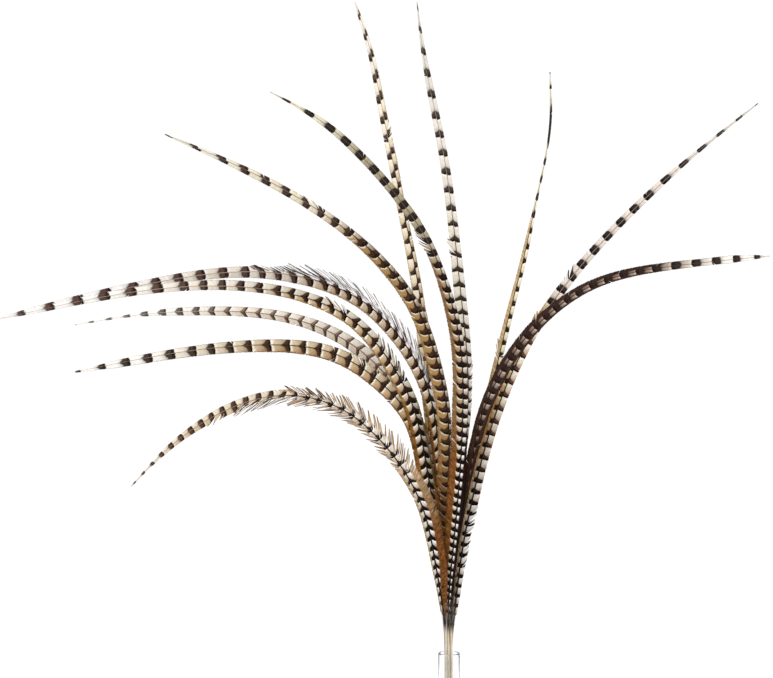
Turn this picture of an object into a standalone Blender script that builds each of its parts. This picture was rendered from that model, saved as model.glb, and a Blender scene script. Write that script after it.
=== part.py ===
# A bunch of barred pheasant tail feathers standing in a clear glass bottle vase.
# Metres, +Z up. The origin is the centre of the vase's flat base, and the bunch faces -Y.

from math import cos, pi, radians, sin

import bmesh
import bpy
import numpy as np
from mathutils import Vector

MM = 0.001

# Vase: a straight neck, a rounded shoulder and a plain cylindrical body.
VASE_HEIGHT = 180 * MM
NECK_RADIUS = 17.3 * MM
NECK_WALL = 3.0 * MM
NECK_LENGTH = 52 * MM
SHOULDER_HEIGHT = 26 * MM
BODY_RADIUS = 46 * MM
BODY_WALL = 3.5 * MM
FLOOR_THICKNESS = 10 * MM
CORNER_RADIUS = 3 * MM
TURNS_AROUND = 32

# Bunch: the quills stand in four rows of three in the neck, and spread a little below it.
QUILL_PITCH = 4.4 * MM
BUNCH_CENTRE_X = -1.0 * MM
SPREAD_AT_FLOOR = 1.25
REST_GAP = 0.3 * MM
ROWS = 4
COLUMNS = 3

# Shaft and vanes, shared by all the feathers.
QUILL_RADIUS = 1.7 * MM
QUILL_END_RADIUS = 1.0 * MM
SHAFT_START_RADIUS = 1.45 * MM
SHAFT_TIP_RADIUS = 0.25 * MM
BARE_ABOVE_RIM = 60 * MM
VANE_ROOT_THICKNESS = 0.7 * MM
VANE_EDGE_THICKNESS = 0.4 * MM
VANE_ARCH = 0.12
BARB_SLANT = 0.8
ROLL_IN_BUNCH = radians(27)
ROLL_SETTLES_ABOVE = 90 * MM
ROLL_SETTLES_BY = 330 * MM

# How wide a vane is along its length, as a share of its widest.
VANE_OUTLINE = (
    (0.00, 0.10), (0.03, 0.45), (0.08, 0.78), (0.18, 1.00), (0.35, 0.90), (0.60, 0.58),
    (0.85, 0.42), (0.93, 0.27), (0.97, 0.14), (1.00, 0.03),
)
WIDTH_CHANGES = (0.25, 0.55)
PLAIN_STATIONS = 18

# Sides of the section that run from the shaft out to a vane's edge. Both faces of a thin vane are
# split the same way, so that they stay apart where the vane twists.
ROOT_TO_EDGE = (2, 4, 7, 9)

# Locks: where the barbs have parted, the edge of a vane runs in and out.
LOCK_OUT = 1.45
LOCK_IN = 0.80

# Each route is where the shaft runs above the vase's mouth, as x, y, z in millimetres.
# Left and right are each vane's widest reach in millimetres, first near the foot and then for the
# outer half, between which it changes over WIDTH_CHANGES. Roll is in degrees.
FEATHERS = {
    "feather_left_frayed": dict(
        row=0, column=0, left=(13, 19), right=(17, 16), roll=12, colour=(0.33, 0.23, 0.14),
        locks=22, parted=(0.34, 0.86), sides="both",
        route=((-8, -13, 234), (-18, -26, 324), (-36, -40, 408), (-74, -57, 482), (-115, -70, 528),
               (-159, -85, 566), (-210, -100, 590), (-270, -118, 595), (-324, -136, 582),
               (-374, -155, 557), (-424, -180, 519), (-473, -210, 466)),
    ),
    "feather_centre_front": dict(
        row=0, column=1, left=(18, 17), right=(13, 16), roll=18, colour=(0.36, 0.24, 0.14),
        route=((-2, -13, 234), (3, -28, 348), (10, -41, 428), (17, -61, 570), (13, -73, 664),
               (-2, -82, 737), (-27, -91, 811), (-72, -101, 885), (-142, -113, 964),
               (-190, -120, 1006), (-276, -132, 1055)),
    ),
    "feather_dark_right": dict(
        row=0, column=2, left=(5, 18), right=(10, 13), roll=20, colour=(0.10, 0.06, 0.04),
        route=((3, -13, 234), (11, -26, 348), (22, -37, 428), (41, -53, 547), (77, -68, 633),
               (134, -82, 703), (212, -99, 761), (334, -122, 792), (475, -150, 806)),
    ),
    "feather_slant_left": dict(
        row=1, column=0, left=(20, 17), right=(3, 15), roll=25, colour=(0.34, 0.23, 0.14),
        route=((-6, -4, 233), (-5, -9, 345), (-1, -15, 473), (-4, -19, 569), (-22, -24, 648),
               (-52, -28, 726), (-104, -33, 798), (-179, -39, 864), (-289, -48, 931),
               (-446, -60, 1001)),
    ),
    "feather_upright_right": dict(
        row=1, column=1, left=(15, 17), right=(4, 13), roll=15, colour=(0.30, 0.20, 0.12),
        route=((1, -4, 233), (8, -7, 345), (22, -9, 489), (30, -10, 592), (27, -9, 670),
               (17, -8, 768), (0, -5, 920), (-21, 0, 1040), (-38, 4, 1120), (-51, 10, 1223)),
    ),
    "feather_slant_right": dict(
        row=1, column=2, left=(17, 15), right=(8, 12), roll=15, colour=(0.26, 0.20, 0.15),
        route=((7, -4, 233), (22, -8, 345), (39, -11, 425), (63, -14, 521), (96, -17, 615),
               (136, -19, 696), (192, -22, 778), (270, -25, 865), (369, -27, 958),
               (487, -30, 1054)),
    ),
    "feather_left_upper": dict(
        row=2, column=0, left=(17, 18), right=(12, 15), roll=15, colour=(0.30, 0.22, 0.15),
        route=((-7, 4, 231), (-10, 7, 295), (-21, 11, 391), (-36, 15, 479), (-60, 19, 580),
               (-94, 23, 644), (-159, 28, 717), (-248, 33, 755), (-363, 39, 769),
               (-514, 47, 758), (-727, 60, 716)),
    ),
    "feather_left_high": dict(
        row=2, column=1, left=(13, 17), right=(9, 17), roll=20, colour=(0.30, 0.22, 0.15),
        locks=12, parted=(0.30, 0.62), sides="right",
        route=((-1, 4, 231), (-5, 10, 343), (-12, 18, 462), (-20, 24, 543), (-39, 30, 618),
               (-81, 38, 688), (-140, 46, 742), (-225, 56, 777), (-333, 69, 790),
               (-476, 87, 776), (-757, 130, 715)),
    ),
    "feather_thin_right": dict(
        row=2, column=2, left=(11, 12), right=(8, 5), roll=35, colour=(0.33, 0.24, 0.15),
        route=((5, 4, 231), (16, 10, 343), (41, 19, 487), (66, 26, 591), (97, 37, 716),
               (121, 45, 807), (146, 56, 912), (168, 71, 1042), (169, 80, 1123)),
    ),
    "feather_left_middle": dict(
        row=3, column=0, left=(12, 20), right=(14, 19), roll=12, colour=(0.30, 0.22, 0.15),
        route=((-8, 13, 230), (-19, 26, 340), (-39, 43, 468), (-59, 53, 549), (-105, 63, 606),
               (-185, 76, 657), (-293, 91, 672), (-427, 110, 662), (-627, 140, 626)),
    ),
    "feather_left_pale": dict(
        row=3, column=1, left=(15, 16), right=(15, 16), roll=10, colour=(0.52, 0.43, 0.32),
        route=((-2, 13, 230), (-9, 28, 340), (-32, 51, 484), (-65, 67, 568), (-126, 86, 648),
               (-198, 104, 695), (-291, 125, 722), (-398, 149, 729), (-520, 179, 724),
               (-642, 210, 706)),
    ),
    "feather_upright_left": dict(
        row=3, column=2, left=(17, 15), right=(16, 15), roll=15, colour=(0.32, 0.22, 0.14),
        route=((3, 13, 230), (-1, 31, 340), (-13, 55, 468), (-29, 76, 598), (-46, 96, 746),
               (-64, 109, 847), (-86, 124, 957), (-112, 144, 1091), (-127, 154, 1170),
               (-154, 170, 1259)),
    ),
}


def clear_scene():
    for obj in list(bpy.data.objects):
        bpy.data.objects.remove(obj, do_unlink=True)


def make_material(name, colour, roughness, transmission=0.0, ior=1.5):
    material = bpy.data.materials.new(name)
    material.use_nodes = True
    shader = material.node_tree.nodes["Principled BSDF"]
    shader.inputs["Base Color"].default_value = (*colour, 1.0)
    shader.inputs["Roughness"].default_value = roughness
    shader.inputs["Metallic"].default_value = 0.0
    shader.inputs["Transmission Weight"].default_value = transmission
    shader.inputs["IOR"].default_value = ior
    return material


def add_object(name, mesh, material):
    mesh.materials.append(material)
    obj = bpy.data.objects.new(name, mesh)
    bpy.context.scene.collection.objects.link(obj)
    return obj


# Vase

def quarter_arc(centre, radius, start, steps=2):
    """Points of a quarter circle in the x, z plane that turns clockwise from the start angle."""
    angles = [start - 0.5 * pi * step / steps for step in range(steps + 1)]
    return [(centre[0] + radius * cos(a), centre[1] + radius * sin(a)) for a in angles]


def shoulder(low, high, wide, narrow, steps=5):
    """Points of a shoulder, from its foot on the body up to the neck."""
    points = []
    for step in range(steps + 1):
        share = step / steps
        radius = wide + (narrow - wide) * (0.5 - 0.5 * cos(pi * share))
        points.append((radius, low + (high - low) * share))
    return points


def make_vase():
    outer_top = VASE_HEIGHT - NECK_LENGTH
    outer_foot = outer_top - SHOULDER_HEIGHT
    inner_radius = BODY_RADIUS - BODY_WALL
    inner_neck = NECK_RADIUS - NECK_WALL
    drop = 0.8 * BODY_WALL
    lip = 0.5 * NECK_WALL
    well = 2 * CORNER_RADIUS

    profile = [(0.0, FLOOR_THICKNESS)]
    corner = (inner_radius - well, FLOOR_THICKNESS + well)
    profile += [(x, 2 * corner[1] - z) for x, z in quarter_arc(corner, well, 0.5 * pi)]
    profile += shoulder(outer_foot - drop, outer_top - drop, inner_radius, inner_neck)
    profile += [(NECK_RADIUS - lip - lip * cos(a), VASE_HEIGHT - lip + lip * sin(a))
                for a in (0, 0.25 * pi, 0.5 * pi, 0.75 * pi, pi)]
    profile += shoulder(outer_foot, outer_top, BODY_RADIUS, NECK_RADIUS)[::-1]
    profile += quarter_arc((BODY_RADIUS - CORNER_RADIUS, CORNER_RADIUS), CORNER_RADIUS, 0.0)
    profile.append((0.0, 0.0))

    mesh = bpy.data.meshes.new("vase")
    edges = [(i, i + 1) for i in range(len(profile) - 1)]
    mesh.from_pydata([(x, 0.0, z) for x, z in profile], edges, [])
    obj = add_object("vase", mesh, make_material("clear_glass", (0.97, 0.99, 0.98), 0.02, 1.0))
    screw = obj.modifiers.new("turned", "SCREW")
    screw.axis = "Z"
    screw.steps = TURNS_AROUND
    screw.render_steps = TURNS_AROUND
    screw.use_merge_vertices = True
    screw.merge_threshold = 0.01 * MM
    screw.use_smooth_shade = True


# Feathers

def shaft_route(feather):
    """All the points the shaft runs through, from the quill's end on the vase's floor to the tip."""
    x = BUNCH_CENTRE_X + (feather["column"] - 0.5 * (COLUMNS - 1)) * QUILL_PITCH
    y = (feather["row"] - 0.5 * (ROWS - 1)) * QUILL_PITCH
    bottom = FLOOR_THICKNESS + REST_GAP
    in_vase = []
    for share in (0.0, 0.35, 0.7, 0.85, 1.0):
        spread = SPREAD_AT_FLOOR + (1.0 - SPREAD_AT_FLOOR) * min(1.0, share / 0.7)
        height = bottom + (VASE_HEIGHT - bottom) * share
        in_vase.append((BUNCH_CENTRE_X + (x - BUNCH_CENTRE_X) * spread, y * spread, height))
    above = [(px * MM, py * MM, pz * MM) for px, py, pz in feather["route"]]
    return np.array(in_vase + above)


def smooth_curve(points):
    """A function of length that runs smoothly through the points, and its full length."""
    steps = np.linalg.norm(np.diff(points, axis=0), axis=1)
    knots = np.concatenate([[0.0], np.cumsum(steps)])
    count = len(points)
    system = np.eye(count)
    target = np.zeros((count, 3))
    for i in range(1, count - 1):
        before, after = steps[i - 1], steps[i]
        system[i, i - 1:i + 2] = before, 2 * (before + after), after
        target[i] = 6 * ((points[i + 1] - points[i]) / after - (points[i] - points[i - 1]) / before)
    bend = np.linalg.solve(system, target)

    def at(length):
        i = min(max(int(np.searchsorted(knots, length)) - 1, 0), count - 2)
        span = steps[i]
        a = (knots[i + 1] - length) / span
        b = (length - knots[i]) / span
        return (a * points[i] + b * points[i + 1]
                + ((a ** 3 - a) * bend[i] + (b ** 3 - b) * bend[i + 1]) * span ** 2 / 6)

    return at, knots[-1]


def vane_width(widest, place):
    """How far a vane reaches from the shaft, at a place from 0 at its foot to 1 at its tip."""
    places, shares = zip(*VANE_OUTLINE)
    low, high = widest
    start, end = WIDTH_CHANGES
    reach = low + (high - low) * min(max((place - start) / (end - start), 0.0), 1.0)
    return reach * MM * float(np.interp(place, places, shares))


def vane_stations(feather):
    """Places along the vane, from 0 at its foot to 1 at its tip, and the width factor of each side."""
    plain = {round(i / PLAIN_STATIONS, 4) for i in range(PLAIN_STATIONS + 1)}
    plain |= {0.03, 0.08, 0.93, 0.97}
    if "locks" not in feather:
        return [(place, 1.0, 1.0) for place in sorted(plain)]
    low, high = feather["parted"]
    stations = [(place, 1.0, 1.0) for place in sorted(plain) if not low < place < high]
    for i in range(1, 2 * feather["locks"]):
        place = low + (high - low) * i / (2 * feather["locks"])
        swell = min(1.0, 4 * min(i, 2 * feather["locks"] - i) / (2 * feather["locks"]))
        factor = 1 + swell * ((LOCK_OUT if i % 2 else LOCK_IN) - 1)
        stations.append((place, factor if feather["sides"] == "both" else 1.0, factor))
    return sorted(stations)


def cross_section(radius, left, right, vane):
    """Ten corners of the feather's section: across, towards its face, and forward along the barbs."""
    root = radius * (0.72 + 0.1 * vane)
    root_height = radius * 0.7 * (1 - vane) + 0.5 * VANE_ROOT_THICKNESS * vane
    edge_height = radius * 0.3 * (1 - vane) + 0.5 * VANE_EDGE_THICKNESS * vane
    corners = []
    for side, width in ((-1, left), (1, right)):
        reach = radius + (max(width, radius) - radius) * vane
        sink = VANE_ARCH * (reach - radius)
        corners.append((side * reach, sink, edge_height, BARB_SLANT * (reach - radius)))
    (lu, lsink, le, lf), (ru, rsink, re, rf) = corners
    return [
        (lu, -lsink - le, lf), (lu, -lsink + le, lf), (-root, root_height, 0.0), (0.0, radius, 0.0),
        (root, root_height, 0.0), (ru, -rsink + re, rf), (ru, -rsink - re, rf),
        (root, -root_height, 0.0), (0.0, -radius, 0.0), (-root, -root_height, 0.0),
    ]


def make_feather(name, feather):
    at, length = smooth_curve(shaft_route(feather))
    mouth = VASE_HEIGHT - FLOOR_THICKNESS
    foot = mouth + BARE_ABOVE_RIM
    vane_length = length - foot
    stations = [(mouth * share, 0.0, 1.0, 1.0) for share in (0.0, 0.04, 0.35, 0.7, 1.0)]
    stations.append((foot - 25 * MM, 0.0, 1.0, 1.0))
    stations += [(foot + vane_length * place, place, left, right)
                 for place, left, right in vane_stations(feather)]

    mesh = bmesh.new()
    rings = []
    towards_viewer = Vector((0, -1, 0))
    for along, place, left_factor, right_factor in stations:
        nudge = 1 * MM
        ahead = Vector(at(min(along + nudge, length)))
        behind = Vector(at(max(along - nudge, 0.0)))
        forward = (ahead - behind).normalized()
        across = forward.cross(towards_viewer).normalized()
        face = across.cross(forward)
        settle = (along - mouth - ROLL_SETTLES_ABOVE) / (ROLL_SETTLES_BY - ROLL_SETTLES_ABOVE)
        settle = min(max(settle, 0.0), 1.0)
        roll = ROLL_IN_BUNCH + (radians(feather["roll"]) - ROLL_IN_BUNCH) * settle
        side = across * cos(roll) + face * sin(roll)
        front = face * cos(roll) - across * sin(roll)

        if along < foot:
            above_mouth = max(0.0, along - mouth) / (foot - mouth)
            radius = QUILL_RADIUS + (SHAFT_START_RADIUS - QUILL_RADIUS) * above_mouth
            if along == 0.0:
                radius = QUILL_END_RADIUS
            vane = 0.0
        else:
            radius = SHAFT_START_RADIUS + (SHAFT_TIP_RADIUS - SHAFT_START_RADIUS) * place ** 0.8
            vane = min(1.0, place / 0.03)
        left = vane_width(feather["left"], place) * left_factor
        right = vane_width(feather["right"], place) * right_factor
        centre = Vector(at(along))
        rings.append([mesh.verts.new(centre + side * u + front * n + forward * f)
                      for u, n, f in cross_section(radius, left, right, vane)])

    for low, high in zip(rings, rings[1:]):
        for i in range(len(low)):
            j = (i + 1) % len(low)
            if i in ROOT_TO_EDGE:
                mesh.faces.new((low[i], high[i], high[j]))
                mesh.faces.new((low[i], high[j], low[j]))
            else:
                mesh.faces.new((low[i], high[i], low[j]))
                mesh.faces.new((high[i], high[j], low[j]))
    mesh.faces.new(rings[0])
    mesh.faces.new(rings[-1][::-1])
    bmesh.ops.recalc_face_normals(mesh, faces=mesh.faces)
    data = bpy.data.meshes.new(name)
    mesh.to_mesh(data)
    mesh.free()
    add_object(name, data, make_material(name + "_colour", feather["colour"], 0.6))


def main():
    clear_scene()
    make_vase()
    for name, feather in FEATHERS.items():
        make_feather(name, feather)


main()
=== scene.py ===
import bpy
import math
import time
import numpy as np
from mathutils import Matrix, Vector


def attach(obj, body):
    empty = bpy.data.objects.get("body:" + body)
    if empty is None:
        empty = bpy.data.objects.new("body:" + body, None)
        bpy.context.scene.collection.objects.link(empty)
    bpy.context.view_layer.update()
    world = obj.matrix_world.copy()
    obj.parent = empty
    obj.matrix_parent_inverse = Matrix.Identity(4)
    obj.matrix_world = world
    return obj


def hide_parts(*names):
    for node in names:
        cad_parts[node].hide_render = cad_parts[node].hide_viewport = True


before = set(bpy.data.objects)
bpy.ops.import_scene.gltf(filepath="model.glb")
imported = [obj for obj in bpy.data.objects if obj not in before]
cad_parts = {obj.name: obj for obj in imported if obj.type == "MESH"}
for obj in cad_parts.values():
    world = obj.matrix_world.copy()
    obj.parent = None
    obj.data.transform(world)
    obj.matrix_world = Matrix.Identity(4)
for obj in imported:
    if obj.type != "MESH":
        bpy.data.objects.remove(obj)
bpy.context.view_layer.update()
started = time.time()
mm = 0.001


def report(stage):
    print(f"{stage}: {time.time() - started:.1f} s")


def paint(code):
    # the linear colour that a shader takes, from a web colour code
    shades = (int(code[i:i + 2], 16) / 255 for i in (0, 2, 4))
    return tuple(c / 12.92 if c <= 0.04045 else ((c + 0.055) / 1.055) ** 2.4 for c in shades)


def sidePaints(codes):
    # left and right paints of every zone, from one code or two for each
    return [paint(zone.split()[side]) for zone in codes.split(",") for side in (0, -1)]


# Shader helpers

def newMaterial(name, finish):
    # finish holds values of the shader's inputs
    material = bpy.data.materials.new(name)
    material.use_nodes = True
    wires = Wires(material.node_tree)
    inputs = material.node_tree.nodes["Principled BSDF"].inputs
    for label, value in finish.items():
        wires.put(inputs[label], value)
    return material, wires, inputs


def newGroup(name, inputs, outputs):
    # inputs are (name, kind, start value) rows, outputs are (name, kind) rows
    group = bpy.data.node_groups.new(name, "ShaderNodeTree")
    for label, kind, value in inputs:
        socket = group.interface.new_socket(label, in_out="INPUT", socket_type="NodeSocket" + kind)
        if value is not None:
            socket.default_value = (*value, 1) if kind == "Color" else value
    for label, kind in outputs:
        group.interface.new_socket(label, in_out="OUTPUT", socket_type="NodeSocket" + kind)
    return group, group.nodes.new("NodeGroupInput").outputs, group.nodes.new("NodeGroupOutput").inputs


class Wires:
    # short ways to add and join the nodes of one tree
    def __init__(self, tree):
        self.tree = tree

    def put(self, socket, value):
        if isinstance(value, bpy.types.NodeSocket):
            self.tree.links.new(value, socket)
        elif isinstance(value, tuple) and len(value) == 3 and socket.type == "RGBA":
            socket.default_value = (*value, 1)
        else:
            socket.default_value = value

    def math(self, operation, *values):
        node = self.tree.nodes.new("ShaderNodeMath")
        node.operation = operation
        for socket, value in zip(node.inputs, values):
            self.put(socket, value)
        return node.outputs[0]

    def times(self, a, b):
        return self.math("MULTIPLY", a, b)

    def minus(self, a, b):
        return self.math("SUBTRACT", a, b)

    def timesPlus(self, a, by, plus):
        return self.math("MULTIPLY_ADD", a, by, plus)

    def step(self, value, low, high, outLow=0.0, outHigh=1.0):
        node = self.tree.nodes.new("ShaderNodeMapRange")
        node.interpolation_type = "SMOOTHSTEP"
        for socket, x in zip(node.inputs, (value, low, high, outLow, outHigh)):
            self.put(socket, x)
        return node.outputs[0]

    def mix(self, share, a, b, blend="MIX"):
        node = self.tree.nodes.new("ShaderNodeMix")
        node.data_type = "RGBA"
        node.blend_type = blend
        self.put(node.inputs[0], share)
        self.put(node.inputs[6], a)
        self.put(node.inputs[7], b)
        return node.outputs[2]

    def noise(self, place, scale, detail=2.0, rough=0.5):
        node = self.tree.nodes.new("ShaderNodeTexNoise")
        self.put(node.inputs["Vector"], place)
        node.inputs["Scale"].default_value = scale
        node.inputs["Detail"].default_value = detail
        node.inputs["Roughness"].default_value = rough
        return node.outputs[0]

    def vector(self, x, y, z):
        node = self.tree.nodes.new("ShaderNodeCombineXYZ")
        for socket, value in zip(node.inputs, (x, y, z)):
            self.put(socket, value)
        return node.outputs[0]

    def parts(self, name):
        attribute = self.tree.nodes.new("ShaderNodeAttribute")
        attribute.attribute_name = name
        split = self.tree.nodes.new("ShaderNodeSeparateXYZ")
        self.tree.links.new(attribute.outputs["Vector"], split.inputs[0])
        return split.outputs

    def group(self, tree, **values):
        node = self.tree.nodes.new("ShaderNodeGroup")
        node.node_tree = tree
        for label, value in values.items():
            self.put(node.inputs[label], value)
        return node


# Stage: pale floor, soft light, and a camera at the height of the middle of the bunch

studio = dict(
    floor={"Base Color": (0.95, 0.95, 0.95), "Roughness": 0.9, "Specular IOR Level": 0.1},
    floorSize=24.0,
    ambient=0.60, seen=1.06,
    cameraAt=(-0.100, -2.4, 0.6816), lens=69.9, sensor=36, farthest=60,
    # each lamp: strength, softness in degrees, and where it shines from
    key=(2.0, 40, (-1.2, -2.0, 2.2)), rim=(0.7, 60, (1.5, 1.5, 2.0)),
)


def makeStage():
    scene = bpy.context.scene
    scene.view_settings.view_transform = "Standard"
    camera = bpy.data.objects.new("camera", bpy.data.cameras.new("camera"))
    camera.location = studio["cameraAt"]
    camera.rotation_euler = (math.pi / 2, 0, 0)
    camera.data.lens = studio["lens"]
    camera.data.sensor_width = studio["sensor"]
    camera.data.clip_end = studio["farthest"]
    scene.collection.objects.link(camera)
    scene.camera = camera

    half = studio["floorSize"] / 2
    mesh = bpy.data.meshes.new("floor")
    corners = [(-half, -half, 0), (half, -half, 0), (half, half, 0), (-half, half, 0)]
    mesh.from_pydata(corners, [], [(0, 1, 2, 3)])
    floor = bpy.data.objects.new("floor", mesh)
    scene.collection.objects.link(floor)
    mesh.materials.append(newMaterial("paleFloor", studio["floor"])[0])

    world = bpy.data.worlds.new("softRoom")
    scene.world = world
    world.use_nodes = True
    wires = Wires(world.node_tree)
    background = world.node_tree.nodes["Background"]
    background.inputs["Color"].default_value = (1, 1, 1, 1)
    path = world.node_tree.nodes.new("ShaderNodeLightPath")
    plain = wires.math("MAXIMUM", path.outputs["Is Camera Ray"], path.outputs["Is Transmission Ray"])
    plain = wires.math("MAXIMUM", plain, path.outputs["Is Glossy Ray"])
    strength = wires.step(plain, 0, 1, studio["ambient"], studio["seen"])
    wires.put(background.inputs["Strength"], strength)

    for name in ("key", "rim"):
        strength, softness, place = studio[name]
        lamp = bpy.data.lights.new(name, "SUN")
        lamp.energy = strength
        lamp.angle = math.radians(softness)
        obj = bpy.data.objects.new(name, lamp)
        obj.location = place
        obj.rotation_euler = Vector(place).to_track_quat("Z", "Y").to_euler()
        scene.collection.objects.link(obj)


makeStage()
report("stage")


# Routes of the feathers, in metres. They keep near the solids' own, and run a few mm aside where the photo
# shows the shaft there.

bunch = dict(
    rim=0.180, floor=0.0103, mouth=0.170, pitch=0.0044, columns=3, centreX=-0.001, spread=1.25,
    neckShares=(0.0, 0.35, 0.7, 0.85, 1.0), straightFrom=0.7, bareAboveRim=0.060,
    quill=((0.0, 0.0010), (0.002, 0.00135), (0.0068, 0.0017), (0.170, 0.0017)),   # distance, radius
    shaftFoot=0.00145, shaftTip=0.00025, shaftPower=0.8,
    arch=0.12, slant=0.8, roll=math.radians(27), rollFrom=0.090, rollTo=0.330,
)

# from where, and over how much of its length, a vane's width turns to the outer half's
widensOver = (0.25, 0.30)
vaneOutline = ((0.00, 0.34), (0.03, 0.60), (0.08, 0.80), (0.18, 1.00), (0.35, 0.90), (0.60, 0.58),
               (0.85, 0.42), (0.93, 0.33), (0.97, 0.21), (1.00, 0.06))


def smoothRoute(points):
    points = np.array(points, float)
    steps = np.linalg.norm(np.diff(points, axis=0), axis=1)
    knots = np.concatenate([[0.0], np.cumsum(steps)])
    count = len(points)
    system = np.eye(count)
    target = np.zeros((count, 3))
    for i in range(1, count - 1):
        before, after = steps[i - 1], steps[i]
        system[i, i - 1:i + 2] = before, 2 * (before + after), after
        target[i] = 6 * ((points[i + 1] - points[i]) / after - (points[i] - points[i - 1]) / before)
    bend = np.linalg.solve(system, target)

    def at(length):
        length = np.asarray(length, float)
        i = np.clip(np.searchsorted(knots, length) - 1, 0, count - 2)
        span = steps[i]
        a = ((knots[i + 1] - length) / span)[..., None]
        b = ((length - knots[i]) / span)[..., None]
        return (a * points[i] + b * points[i + 1]
                + ((a ** 3 - a) * bend[i] + (b ** 3 - b) * bend[i + 1]) * (span ** 2)[..., None] / 6)

    return at, float(knots[-1])


def featherRoute(feather, index):
    row, column = divmod(index, bunch["columns"])
    x = bunch["centreX"] + (column - 1) * bunch["pitch"]
    y = (row - 1.5) * bunch["pitch"]
    points = []
    for share in bunch["neckShares"]:
        spread = bunch["spread"] + (1 - bunch["spread"]) * min(1.0, share / bunch["straightFrom"])
        height = bunch["floor"] + (bunch["rim"] - bunch["floor"]) * share
        points.append((bunch["centreX"] + (x - bunch["centreX"]) * spread, y * spread, height))
    points += [(px * mm, py * mm, pz * mm) for px, py, pz in feather["route"]]
    return smoothRoute(points)


def unit(v):
    return v / np.linalg.norm(v, axis=-1, keepdims=True)


def framesAt(at, length, feather, along):
    # centre, forward, side and front at each place along the shaft
    nudge = 0.001
    forward = unit(at(np.minimum(along + nudge, length)) - at(np.maximum(along - nudge, 0)))
    across = unit(np.cross(forward, (0.0, -1.0, 0.0)))
    face = np.cross(across, forward)
    settle = (along - bunch["mouth"] - bunch["rollFrom"]) / (bunch["rollTo"] - bunch["rollFrom"])
    settle = np.clip(settle, 0, 1)
    roll = (bunch["roll"] + (math.radians(feather["roll"]) - bunch["roll"]) * settle)[..., None]
    side = across * np.cos(roll) + face * np.sin(roll)
    front = face * np.cos(roll) - across * np.sin(roll)
    return at(along), forward, side, front


def widthAt(feather, side, place):
    low, high = feather["left" if side < 0 else "right"]
    share = np.clip((place - widensOver[0]) / widensOver[1], 0, 1)
    wide = (low + (high - low) * share) * mm * np.interp(place, *zip(*vaneOutline))
    places, *shares = zip(*feather["trim"])
    return wide * np.interp(place, places, shares[int(side > 0)])


def shaftRadius(place):
    return bunch["shaftFoot"] + (bunch["shaftTip"] - bunch["shaftFoot"]) * place ** bunch["shaftPower"]


def sixParts(values):
    # values for the foot's left and right, the middle's and the tip's, from one, two, three or six given
    values = tuple(values)
    if len(values) == 3:
        return tuple(value for value in values for side in (0, 1))
    return values * (6 // len(values))


def risesOver(place, start, end):
    share = np.clip((place - start) / (end - start), 0, 1)
    return share * share * (3 - 2 * share)


def byZone(values, turn, place, right):
    foot, middle, tip = (np.where(right > 0, b, a) for a, b in np.reshape(sixParts(values), (3, 2)))
    value = foot + (middle - foot) * risesOver(place, *turn[:2])
    return value + (tip - value) * risesOver(place, *turn[2:])


# Mesh building from blocks of points and faces

class Mesh:
    def __init__(self, name):
        self.name = name
        self.faces, self.slots, self.uvs = [], [], []
        self.rows = {"points": [], "marks": [], "spots": [], "barbs": []}
        self.count = 0

    def add(self, points, faces, slot, uv, marks, spots, barbs):
        # points, marks, spots and barbs are n x 3, faces are m x 3 or m x 4, uv is n x 2
        for rows, values in zip(self.rows.values(), (points, marks, spots, barbs)):
            rows.append(values.reshape(-1, 3))
        self.faces.append(faces + self.count)
        self.slots.append(np.full(len(faces), slot))
        self.uvs.append(uv.reshape(-1, 2)[faces.reshape(-1)])
        self.count += points.size // 3

    def build(self, materials):
        mesh = bpy.data.meshes.new(self.name)
        rows = {name: np.concatenate(values).reshape(-1) for name, values in self.rows.items()}
        corners = np.concatenate([f.reshape(-1) for f in self.faces])
        sizes = np.concatenate([np.full(len(f), f.shape[1]) for f in self.faces])
        mesh.vertices.add(self.count)
        mesh.vertices.foreach_set("co", rows.pop("points"))
        mesh.loops.add(len(corners))
        mesh.loops.foreach_set("vertex_index", corners)
        mesh.polygons.add(len(sizes))
        mesh.polygons.foreach_set("loop_start", np.concatenate([[0], np.cumsum(sizes)[:-1]]))
        mesh.polygons.foreach_set("material_index", np.concatenate(self.slots))
        mesh.polygons.foreach_set("use_smooth", np.ones(len(sizes), bool))
        layer = mesh.uv_layers.new(name="OFBake")
        layer.data.foreach_set("uv", np.concatenate(self.uvs).reshape(-1))
        for name, values in rows.items():
            attribute = mesh.attributes.new(name, "FLOAT_VECTOR", "POINT")
            attribute.data.foreach_set("vector", values)
        mesh.update(calc_edges=True)
        mesh.validate()
        for material in materials:
            mesh.materials.append(material)
        obj = bpy.data.objects.new(self.name, mesh)
        bpy.context.scene.collection.objects.link(obj)
        return obj


# Shared finishes

def makeZoneGroup():
    # the colour at a place, from the left and right ones of the foot, the middle and the tip
    zones = ("Foot", "Middle", "Tip")
    group, inputs, outputs = newGroup("colourByZone", (
        ("Toward Middle", "Float", 0.0), ("Toward Tip", "Float", 0.0), ("Right", "Float", 0.0),
        *((zone + side, "Color", (1, 1, 1)) for zone in zones for side in (" Left", " Right")),
    ), (("Colour", "Color"),))
    wires = Wires(group)
    foot, middle, tip = (wires.mix(inputs["Right"], inputs[zone + " Left"], inputs[zone + " Right"])
                         for zone in zones)
    colour = wires.mix(inputs["Toward Middle"], foot, middle)
    wires.put(outputs["Colour"], wires.mix(inputs["Toward Tip"], colour, tip))
    return group


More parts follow.
